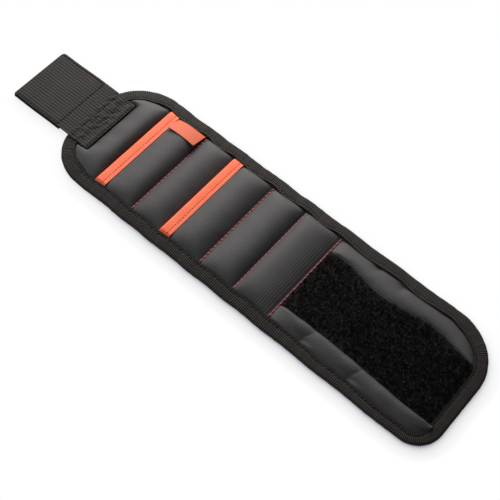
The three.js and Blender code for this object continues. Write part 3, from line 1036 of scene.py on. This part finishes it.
loop_pile = cloth_material(
    "brushed loop pile", threads, pitch=(2.0, 2.0), dark=(1, 1, 1), light=(104, 99, 93),
    bump=0.0, rough=0.75, shine=0.05, contrast=0.95, spread=0.06,
)
tape_ground = cloth_material(
    "loop tape ground", threads, pitch=(0.9, 0.9), dark=(1, 1, 1), light=(12, 12, 11),
    bump=0.1 * MM, rough=0.85,
)


def tape_reach(x, side):
    return min(loop_edge(x, side), half_width(x, side, BINDING_WIDTH + TAPE_CLEARANCE))


def tape_place(x, t):
    y = (2 * t - 1) * tape_reach(x, 2 * t - 1)
    return (x, y, tape_seat(x) + PILE_BASE), (x / MM, y / MM)


def pile_loop(lean, tint):
    """One loop of the pile: a flat filament spun up into an arch and pushed over to one side. The tint
    is how much of the light colour it took."""
    bm = bmesh.new()
    bmesh.ops.create_circle(bm, segments=3, radius=PILE_FILAMENT / 2)
    bmesh.ops.rotate(bm, verts=bm.verts, cent=(0, 0, 0), matrix=Matrix.Rotation(math.pi / 2, 3, "X"))
    bmesh.ops.translate(bm, verts=bm.verts, vec=(PILE_SPREAD / 2, 0, 0))
    bmesh.ops.spin(
        bm, geom=[*bm.verts, *bm.edges], cent=(0, 0, 0), axis=(0, -1, 0), angle=math.pi, steps=4
    )
    bmesh.ops.scale(bm, verts=bm.verts, vec=(1, 1, PILE_HEIGHT / (PILE_SPREAD / 2)))
    for vert in bm.verts:
        vert.co.y += lean * vert.co.z
    return small_mesh(bm, "pile loop", lambda place: (2 * math.asin(tint) / math.pi, 1.0))


dice = random.Random(PILE_SEED)
dark_loops = [pile_loop(lean, tint) for lean, tint in DARK_LOOPS]
rubbed_loops = [pile_loop(lean, tint) for lean, tint in RUBBED_LOOPS]
pile_reach = LOOP_HALF + NEAR_SLANT + PILE_MARGIN


def planted_pile(start, end):
    """The loops between two places along the tape, each of a kind, size and turn of its own."""
    for _ in range(round((end - start) / MM * 2 * pile_reach / MM * PILE_DENSITY)):
        x = dice.uniform(start, end)
        y = dice.uniform(-pile_reach, pile_reach)
        if abs(y) > tape_reach(x, y) - PILE_SIDE_GAP or x > tape_end - PILE_END_GAP:
            continue
        size = Matrix.Scale(dice.uniform(*PILE_SIZES), 4)
        root = Matrix.Translation((x, y, tape_seat(x) + PILE_BASE - PILE_ROOT))
        turn = Matrix.Rotation(dice.uniform(0, 2 * math.pi), 4, "Z")
        tuft = patchy(x, y, PILE_TUFT, pattern=1)
        # Fewer light loops toward the tail end: painted shade where the light falls off.
        least = RUBBED_FROM + PILE_PAINTED_FALLOFF * tape_share(x)
        yield dice.choice(rubbed_loops if tuft > least else dark_loops), root @ turn @ size


ground = cloth_grid(tape_start, tape_end, CLOTH_STEP, TAPE_ROWS, tape_place)
for number, length in tail_lengths(ground, "loop_tape", tape_ground):
    thicken(length, PILE_BASE)
    follow_tail(length, number)
    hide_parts(f"{CELLS[number]}_loop_tape")

tail_start = CELLS.index("tail_1")
edges = [tape_start, *cuts[tail_start:], tape_end]
for number, (start, end) in enumerate(zip(edges, edges[1:]), start=tail_start):
    pile = piece_of(sow(planted_pile(start, end)), f"loop_pile_{CELLS[number]}", loop_pile)
    follow_tail(pile, number)

# Edge binding.
# Black grosgrain tape folded round the band's edge over all the layers and sewn through near its inner
# edge, which stands up as a lip. Its ribs cross the tape, and it waves with the cells that it holds.
BINDING_HEIGHT = 2.6 * MM
BINDING_THICKNESS = 0.4 * MM
BINDING_RIB = 1.3 * MM
BINDING_RIB_HEIGHT = 0.45 * MM
BINDING_RIB_STEPS = 5
BINDING_ROWS = 30
BINDING_SLOPE = 0.15
TAIL_SLOPE = 0.06
TAIL_SLOPE_RUN = 15 * MM
BINDING_SELVAGE = 0.7 * MM
BINDING_LIP = 1.1 * MM
NEAR_LIP = 0.5
LIP_REACH = 1.8 * MM
BINDING_SEAM = 1.7 * MM
BINDING_STITCH = 2.9 * MM
BINDING_GROOVE = 0.45 * MM
BINDING_GROOVE_REACH = 0.6 * MM
BINDING_BUMPS = 0.25 * MM
BUMP_PATCH = 11 * MM
LOOSE_PATCH = 4 * MM
RIB_DRIFT = 0.2
RIB_UNEVEN = 0.5
EDGE_WAVE = 0.45 * MM
NEAR_WAVE = 0.7 * MM
FAR_WAVE = 1.9 * MM
WAVE_BUMPS = 0.6

# Its near-black grooves between lighter rib tops are painted shade.
binding_tape = cloth_material(
    "black grosgrain", tape_weave, pitch=(BINDING_RIB / MM, 0.5), dark=(1, 1, 1),
    light=(71, 66, 62), bump=0.05 * MM, rough=0.75, shine=0.15, contrast=1.4, spread=0.0,
)
black_thread = cloth_material(
    "black thread", threads, pitch=(0.4, 0.4), dark=(8, 8, 8), light=(36, 35, 33),
    bump=0.03 * MM, rough=0.5,
)


def edge_walk(point, heading, legs):
    """The band's edge from a point: each leg is a straight length and the radius of the corner after
    it. Gives the length, and the point and outward direction at any distance."""
    runs = []
    point, heading = Vector(point), Vector(heading)
    for straight, radius in legs:
        runs.append((straight, 0.0, point.copy(), heading.copy()))
        point = point + heading * straight
        if radius:
            runs.append((radius * math.pi / 2, radius, point.copy(), heading.copy()))
            inward = Vector((heading.y, -heading.x))
            point = point + (heading + inward) * radius
            heading = inward
    total = sum(run[0] for run in runs)

    def at(distance):
        number = 0
        while number < len(runs) - 1 and distance > runs[number][0]:
            distance -= runs[number][0]
            number += 1
        _, radius, start, direction = runs[number]
        outward = Vector((-direction.y, direction.x))
        if not radius:
            return start + direction * distance, outward
        turn = distance / radius
        centre = start - outward * radius
        outward = outward * math.cos(turn) + direction * math.sin(turn)
        return centre + outward * radius, outward

    return total, at


def cell_wave(x):
    """1 at a seam and -1 in the middle of a cell, along the band."""
    stops = [band_left, *folds, band_right]
    for left, right in zip(stops, stops[1:]):
        if left <= x <= right:
            return math.cos(2 * math.pi * (x - left) / (right - left))
    return 1.0


def bound_edge(total, at):
    """The binding along one walk of the edge: the pitch of its ribs, and what places it, with t from
    its inner edge on top round to its inner edge underneath."""
    radius = BINDING_HEIGHT / 2
    pitch = total / round(total / BINDING_RIB)

    def place(distance, t):
        point, outward = at(distance)
        bumps = patchy(*point, BUMP_PATCH, pattern=5)
        loose = patchy(*point, LOOSE_PATCH, pattern=8)
        waved = cell_wave(point.x)
        rib = distance + RIB_DRIFT * pitch * loose
        inner = WAVE_BUMPS * bumps - (1 - WAVE_BUMPS) * waved
        inner *= (FAR_WAVE if outward.y > 0 else NEAR_WAVE) * abs(outward.y)
        inner += bound_width(point.x, outward.y)
        leg = inner - radius
        run = 2 * leg + math.pi * radius
        along = t * run
        inset, z, facing, up = folded(along, leg, radius)
        if along < leg:
            tail = limited((point.x - folds[LAST_SEAM]) / TAIL_SLOPE_RUN)
            z += (BINDING_SLOPE + (TAIL_SLOPE - BINDING_SLOPE) * tail) * (leg - along)
            z += BINDING_LIP * max(outward.y, NEAR_LIP) * max(1 - along / LIP_REACH, 0.0) ** 2
        selvage = min(min(along, run - along) / BINDING_SELVAGE, 1.0)
        swell = BINDING_RIB_HEIGHT * (1 + RIB_UNEVEN * loose) * ribs(rib, pitch) * selvage
        swell -= BINDING_GROOVE * ridge(along - BINDING_SEAM, BINDING_GROOVE_REACH)
        if z > radius:
            swell += BINDING_BUMPS * bumps
        inset -= EDGE_WAVE * (0.5 * waved - 0.5) * abs(outward.y) + facing * swell
        x, y = point - outward * inset
        return (x, y, max(z + up * swell, 0.0)), (rib / pitch * BINDING_RIB / MM, along / MM)

    return pitch, place


binding_stitch = stitch(length=0.8 * BINDING_STITCH, width=0.4 * MM, sag=0.3 * MM)


def binding_piece(name, number, walks, nodes):
    joined = bmesh.new()
    planted = []
    seam_share = BINDING_SEAM / (2 * BINDING_WIDTH + BINDING_HEIGHT / 2)
    for total, at in walks:
        pitch, place = bound_edge(total, at)
        strip = cloth_grid(0, total, pitch / BINDING_RIB_STEPS, BINDING_ROWS, place)
        scratch = bpy.data.meshes.new("strip")
        strip.to_mesh(scratch)
        strip.free()
        joined.from_mesh(scratch)
        bpy.data.meshes.remove(scratch)
        for distance in stitch_places(0, total, BINDING_STITCH):
            (x, y, z), _ = place(distance, seam_share)
            outward = at(distance)[1]
            turn = Matrix.Rotation(math.atan2(outward.y, outward.x), 4, "Z")
            planted.append((binding_stitch, Matrix.Translation((x, y, z + STITCH_LIFT)) @ turn))
    tape = piece_of(joined, name, binding_tape)
    thicken(tape, BINDING_THICKNESS)
    follow_band(tape, number)
    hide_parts(*nodes)
    line = piece_of(sow(planted), f"{name}_stitches", black_thread)
    follow_band(line, number)


legs = [
    (cuts[0] - band_left - STRAP_NEAR_RADIUS, STRAP_NEAR_RADIUS),
    (2 * half_band - STRAP_NEAR_RADIUS - STRAP_FAR_RADIUS, STRAP_FAR_RADIUS),
    (cuts[0] - band_left - STRAP_FAR_RADIUS, 0),
]
walk = edge_walk((cuts[0], -half_band), (-1, 0), legs)
binding_piece("binding_end_cell", 0, [walk], ["end_cell_binding"])
for number in range(1, len(cuts)):
    length = cuts[number] - cuts[number - 1]
    near = edge_walk((cuts[number], -half_band), (-1, 0), [(length, 0)])
    far = edge_walk((cuts[number - 1], half_band), (1, 0), [(length, 0)])
    cell = CELLS[number]
    nodes = [f"{cell}_binding_near", f"{cell}_binding_far"]
    binding_piece(f"binding_{cell}", number, [near, far], nodes)
legs = [
    (band_right - TAIL_FAR_RADIUS - cuts[-1], TAIL_FAR_RADIUS),
    (2 * half_band - TAIL_FAR_RADIUS - TAIL_NEAR_RADIUS, TAIL_NEAR_RADIUS),
    (band_right - TAIL_NEAR_RADIUS - cuts[-1], 0),
]
walk = edge_walk((cuts[-1], half_band), (1, 0), legs)
binding_piece("binding_tail_3", len(cuts), [walk], ["tail_3_binding"])

# Strap.
# One length of heavy ribbed webbing, hemmed and sewn over the band's end, with its free part running
# out past it. It is crumpled where it is sewn down.
STRAP_RIB = 2.12 * MM
STRAP_RIB_HEIGHT = 0.14 * MM
STRAP_TICK = 2.2 * MM
STRAP_TICK_HEIGHT = 0.13 * MM
STRAP_SELVAGE = 1.0 * MM
STRAP_STEP_ALONG = 0.45 * MM
STRAP_STEP_ACROSS = 0.3 * MM
STRAP_BEND = 5 * MM
STRAP_THINNER = 0.15 * MM
SEAT_CORNER = 0.6 * MM
TIP_NEAR_CORNER = 0.8 * MM
TIP_FAR_CORNER = 2.6 * MM
STRAP_DROOP = 1.1 * MM
DROOP_RUN = 25 * MM
STRAP_TRIM = 1.8 * MM
HOOK_REACH = 5.5 * MM
SEAT_DROP = 0.75 * MM
SEAT_DROP_RUN = 4 * MM
HOOK_SEAM = 2.5 * MM
ANCHOR_SEAM = 4.4 * MM
HEM_SEAM = 1.4 * MM
EDGE_ROLL = 0.4 * MM
EDGE_ROLL_REACH = 0.8 * MM
SEAM_GROOVE = 0.3 * MM
SEAM_GROOVE_REACH = 0.55 * MM
EDGE_SEAM = 1.5 * MM
EDGE_GROOVE = 0.25 * MM
EDGE_GROOVE_REACH = 0.5 * MM
HEM_FOLD = 0.55 * MM
HEM_FOLD_START = 3 * MM
HEM_FOLD_RUN = 2 * MM
CRUMPLE = 0.6 * MM
CRUMPLE_REACH = 4 * MM
CRUMPLE_RUN = 2.5 * MM
CRUMPLE_PATCH = (2.6 * MM, 3.4 * MM)

# The dark grooves between its ribs and ticks are painted shade.
strap_webbing = cloth_material(
    "ribbed webbing", tape_weave, pitch=(STRAP_RIB / MM, STRAP_TICK / MM), dark=(14, 13, 12),
    light=(67, 62, 58), bump=0.06 * MM, rough=0.75, shine=0.15, contrast=0.7,
)
strap_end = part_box("strap_webbing")[0].x + STRAP_TRIM
webbing_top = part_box("strap_webbing")[1].z
webbing_thickness = webbing_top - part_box("strap_webbing")[0].z
strap_fold = next(j for j in frame["joints"] if j["name"] == "strap_fold")["pos_m"]
hook_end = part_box("hook_tape")[1].x + HOOK_REACH
hook_seam = hook_end - HOOK_SEAM
anchor_seam = band_left + ANCHOR_SEAM
hem_seam = strap_seat - HEM_SEAM


def droop(x):
    """How far the free strap has sunk toward the table."""
    return STRAP_DROOP * eased((strap_fold[0] - STRAP_BEND - x) / DROOP_RUN)


def rounded(half, into, radius):
    """Half the width of a tape with rounded corners, at a distance into the corner."""
    return half - radius + math.sqrt(max(radius**2 - max(into, 0.0) ** 2, 0.0))


def tip_rounded(half, x, side):
    """Half the width of the strap's free end, whose far corner is rounded off more."""
    corner = TIP_FAR_CORNER if side > 0 else TIP_NEAR_CORNER
    return rounded(half, strap_end + corner - x, corner)


def strap_place(x, t):
    side = 2 * t - 1
    seated = rounded(half_strap, x - strap_seat + SEAT_CORNER, SEAT_CORNER)
    reach = min(seated, tip_rounded(half_strap, x, side))
    y = side * reach
    z = webbing_top - SEAT_DROP * eased((x - band_left - BINDING_WIDTH) / SEAT_DROP_RUN)
    edge = min(reach - abs(y), x - strap_end, strap_seat - x)
    woven = min(edge / STRAP_SELVAGE, 1.0)
    shift = math.floor(y / STRAP_RIB) % 2 * STRAP_TICK / 2
    z += STRAP_RIB_HEIGHT * (ribs(y, STRAP_RIB) - 1) * woven
    z += STRAP_TICK_HEIGHT * (ribs(x + shift, STRAP_TICK) - 1) * woven
    z -= EDGE_ROLL * (1 - min(edge / EDGE_ROLL_REACH, 1.0)) ** 2
    for seam in (hook_seam, anchor_seam, hem_seam):
        z -= SEAM_GROOVE * ridge(x - seam, SEAM_GROOVE_REACH)
    if x < hook_seam:
        z -= EDGE_GROOVE * ridge(edge - EDGE_SEAM, EDGE_GROOVE_REACH)
    z += HEM_FOLD * eased((x - hem_seam + HEM_FOLD_START) / HEM_FOLD_RUN)
    crumpled = limited(min(x - anchor_seam + CRUMPLE_REACH, hem_seam - x) / CRUMPLE_RUN)
    z += CRUMPLE * crumpled * noise.noise((x / CRUMPLE_PATCH[0], y / CRUMPLE_PATCH[1], 2.0))
    return (x, y, z - droop(x)), (y / MM, x / MM)


rows = round(2 * half_strap / STRAP_STEP_ACROSS)
bm = cloth_grid(strap_end, strap_seat, STRAP_STEP_ALONG, rows, strap_place)
strap = piece_of(bm, "strap_web", strap_webbing)
thicken(strap, webbing_thickness - STRAP_THINNER)
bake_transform(strap)
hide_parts("strap_webbing", "strap_anchor")

# Strap stitching.
# Lock-stitching in thread of the webbing's own colour: across the hook tape's inner end and along its
# two long edges, and across the anchor at the band's end and at its hem.
STRAP_STITCH = 2.8 * MM

web_thread = cloth_material(
    "webbing thread", threads, pitch=(0.4, 0.4), dark=(6, 6, 5), light=(36, 34, 30),
    bump=0.03 * MM, rough=0.55,
)
strap_stitch = stitch(length=0.84 * STRAP_STITCH, width=0.5 * MM, sag=0.35 * MM)


def stitch_run(start, end):
    """The stitches along a straight seam on the webbing, and their places."""
    start, end = Vector(start), Vector(end)
    turn = Matrix.Rotation(math.atan2(*(start - end)), 4, "Z")
    for share in stitch_places(0, 1, STRAP_STITCH / (end - start).length):
        x, y = start.lerp(end, share)
        place, _ = strap_place(x, (y / half_strap + 1) / 2)
        yield strap_stitch, Matrix.Translation((x, y, place[2] + STITCH_LIFT)) @ turn


def stitched(name, runs):
    planted = [pair for start, end in runs for pair in stitch_run(start, end)]
    line = piece_of(sow(planted), name, web_thread)
    return line


reach = half_strap - EDGE_SEAM
tip = strap_end + EDGE_SEAM
outer = [((hook_seam, -reach), (hook_seam, reach))]
outer += [((tip, y), (hook_seam, y)) for y in (-reach, reach)]
line = stitched("hook_seam_stitches", outer)
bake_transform(line)
line = stitched("anchor_stitches", [((x, -reach), (x, reach)) for x in (anchor_seam, hem_seam)])
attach(line, "end_cell")

# Hook tape.
# Stiff black tape with rows of small moulded hooks, sewn under the strap's outer part. Its edges stand
# out a little past the webbing.
HOOK_BASE = 0.7 * MM
HOOK_RISE = 1.05 * MM
HOOK_CURL = 0.34 * MM
HOOK_TURN = math.radians(230)
HOOK_PITCH = 1.55 * MM
HOOK_THREAD = 0.26 * MM
HOOK_EDGE = 0.5 * MM
HOOK_ROW_HEIGHT = 0.03 * MM
HOOK_JITTER = 0.15 * MM
HOOK_TWIST = 0.5
HOOK_SEED = 11
HOOK_COLUMNS = 88
HOOK_ROWS = 40

hook_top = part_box("hook_tape")[1].z
hook_tape = cloth_material(
    "moulded hook tape", threads, pitch=(0.5, 0.5), dark=(5, 5, 5), light=(24, 24, 25),
    bump=0.03 * MM, rough=0.5,
)


def hook_place(x, t):
    side = 2 * t - 1
    y = side * tip_rounded(half_strap + HOOK_EDGE, x, side)
    return (x, y, hook_top - HOOK_ROW_HEIGHT * ribs(x, HOOK_PITCH) - droop(x)), (x / MM, y / MM)


step = (hook_end - strap_end) / HOOK_COLUMNS
bm = cloth_grid(strap_end, hook_end, step, HOOK_ROWS, hook_place)
sole = piece_of(bm, "hook_tape_base", hook_tape)
thicken(sole, HOOK_BASE)
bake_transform(sole)
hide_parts("hook_tape")


def hook():
    """One hook: a thread that stands down from the tape and curls over at its tip."""
    bm = bmesh.new()
    bmesh.ops.create_circle(bm, segments=4, radius=HOOK_THREAD / 2)
    grown = bmesh.ops.extrude_edge_only(bm, edges=bm.edges[:])
    verts = [item for item in grown["geom"] if isinstance(item, bmesh.types.BMVert)]
    bmesh.ops.translate(bm, verts=verts, vec=(0, 0, HOOK_CURL - HOOK_RISE))
    tip = [item for item in grown["geom"] if isinstance(item, bmesh.types.BMEdge)]
    centre = (HOOK_CURL, 0, HOOK_CURL - HOOK_RISE)
    bmesh.ops.spin(bm, geom=[*verts, *tip], cent=centre, axis=(0, -1, 0), angle=HOOK_TURN, steps=5)
    return small_mesh(bm, "hook", lambda place: (place.x / MM, place.z / MM))


dice = random.Random(HOOK_SEED)
seed = hook()
planted = []
for i in range(1, round((hook_end - strap_end) / HOOK_PITCH)):
    for j in range(round(2 * half_strap / HOOK_PITCH)):
        x = strap_end + i * HOOK_PITCH + dice.uniform(-HOOK_JITTER, HOOK_JITTER)
        y = -half_strap + (j + 0.5) * HOOK_PITCH + dice.uniform(-HOOK_JITTER, HOOK_JITTER)
        turn = math.pi * (i % 2) + dice.uniform(-HOOK_TWIST, HOOK_TWIST)
        if abs(y) < tip_rounded(half_strap, x, y) - HOOK_PITCH / 2:
            root = Matrix.Translation((x, y, hook_top - HOOK_BASE - droop(x)))
            planted.append((seed, root @ Matrix.Rotation(turn, 4, "Z")))
field = piece_of(sow(planted), "hook_field", hook_tape)
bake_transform(field)

# Table, light and camera.
# A white table that shows only by a painted soft shadow beside the band: ambient occlusion, turned
# toward the key light, darkens its see-through colour, and the painted shadow is made fainter toward the
# strap, so that the band can also be seen from below. A broad key light stands behind the strap end,
# with a weak fill on the near side and a light underneath.
TABLE_REACH = 1.5
SHADOW_REACH = 10 * MM
SHADOW_TINT = (0.08, 0.08, 0.14, 1)
SHADOW_FAINT = 0.3
SHADOW_GROWS = (-120 * MM, -40 * MM)
LIGHT_WAY = (-0.42, 0.42, 0.8)
AMBIENT = 0.17
AMBIENT_TINT = (0.84, 0.86, 1.0, 1)
WHITE = (1, 1, 1, 1)

bm = bmesh.new()
bmesh.ops.create_grid(bm, x_segments=1, y_segments=1, size=TABLE_REACH)
paper, tree, _ = new_finish("white table")
toward = put(tree, "ShaderNodeCombineXYZ", dict(zip("XYZ", LIGHT_WAY)))
open_sky = put(tree, "ShaderNodeAmbientOcclusion", {
    "Distance": SHADOW_REACH, "Normal": toward.outputs[0],
})
covered = maths(tree, "SUBTRACT", 1.0, open_sky.outputs["AO"])
topside = maths(tree, "SUBTRACT", 1.0, put(tree, "ShaderNodeNewGeometry").outputs["Backfacing"])
seen = maths(tree, "MULTIPLY", topside, put(tree, "ShaderNodeLightPath").outputs["Is Camera Ray"])
where = put(tree, "ShaderNodeSeparateXYZ", {0: put(tree, "ShaderNodeTexCoord").outputs["Object"]})
# The painted shadow grows from faint at the strap end to full strength further along the band.
grown = put(tree, "ShaderNodeMapRange", {
    "Value": where.outputs["X"], "From Min": SHADOW_GROWS[0], "From Max": SHADOW_GROWS[1],
    "To Min": SHADOW_FAINT,
})
shaded = maths(tree, "MULTIPLY", covered, maths(tree, "MULTIPLY", seen, grown.outputs[0]))
clear = put(tree, "ShaderNodeBsdfTransparent", {"Color": blended(tree, shaded, WHITE, SHADOW_TINT)})
tree.links.new(clear.outputs[0], tree.nodes["Material Output"].inputs["Surface"])
table = piece_of(bm, "table", paper)
table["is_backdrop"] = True

world = bpy.data.worlds.new("white studio")
bpy.context.scene.world = world
world.use_nodes = True
tree = world.node_tree
sky = tree.nodes["Background"]
straight = put(tree, "ShaderNodeLightPath").outputs["Is Camera Ray"]
strength = maths(tree, "MULTIPLY_ADD", straight, 1.0 - AMBIENT, AMBIENT)
tree.links.new(strength, sky.inputs["Strength"])
tree.links.new(blended(tree, straight, AMBIENT_TINT, WHITE), sky.inputs["Color"])


def soft_light(name, place, aim, size, power, tint):
    data = bpy.data.lights.new(name, "AREA")
    data.shape = "SQUARE"
    data.size = size
    data.energy = power
    data.color = tint
    light = bpy.data.objects.new(name, data)
    light.location = place
    light.rotation_euler = (Vector(aim) - Vector(place)).to_track_quat("-Z", "Y").to_euler()
    bpy.context.scene.collection.objects.link(light)


soft_light(
    "key", place=(-0.4, 0.5, 0.36), aim=(-0.01, 0, 0), size=0.45, power=8.6, tint=(1.0, 0.98, 0.96)
)
soft_light(
    "fill", place=(-0.6, -0.4, 0.4), aim=(-0.1, 0, 0), size=0.5, power=2.3, tint=(0.95, 0.97, 1.0)
)
soft_light("under light", place=(0.15, -0.3, -0.6), aim=(0, 0, 0), size=0.8, power=5.0, tint=(1, 1, 1))

AZIMUTH = math.radians(36.727)
ELEVATION = math.radians(61.353)
ROLL = math.radians(4.449)
AIM = Vector((17.876, -7.313, 0)) * MM
DISTANCE = 658.82 * MM
FOCAL_LENGTH = 75.4
FILM_WIDTH = 36
NEAREST_SEEN = 50 * MM
lens = bpy.data.cameras.new("camera")
lens.sensor_width = FILM_WIDTH
lens.sensor_fit = "HORIZONTAL"
lens.lens = FOCAL_LENGTH
lens.clip_start = NEAREST_SEEN
camera = bpy.data.objects.new("camera", lens)
turned = Matrix.Rotation(AZIMUTH, 4, "Z") @ Matrix.Rotation(math.pi / 2 - ELEVATION, 4, "X")
turned = turned @ Matrix.Rotation(ROLL, 4, "Z")
camera.matrix_world = Matrix.Translation(AIM) @ turned @ Matrix.Translation((0, 0, DISTANCE))
bpy.context.scene.collection.objects.link(camera)
bpy.context.scene.camera = camera
bpy.context.scene.view_settings.view_transform = "Standard"

low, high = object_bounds()
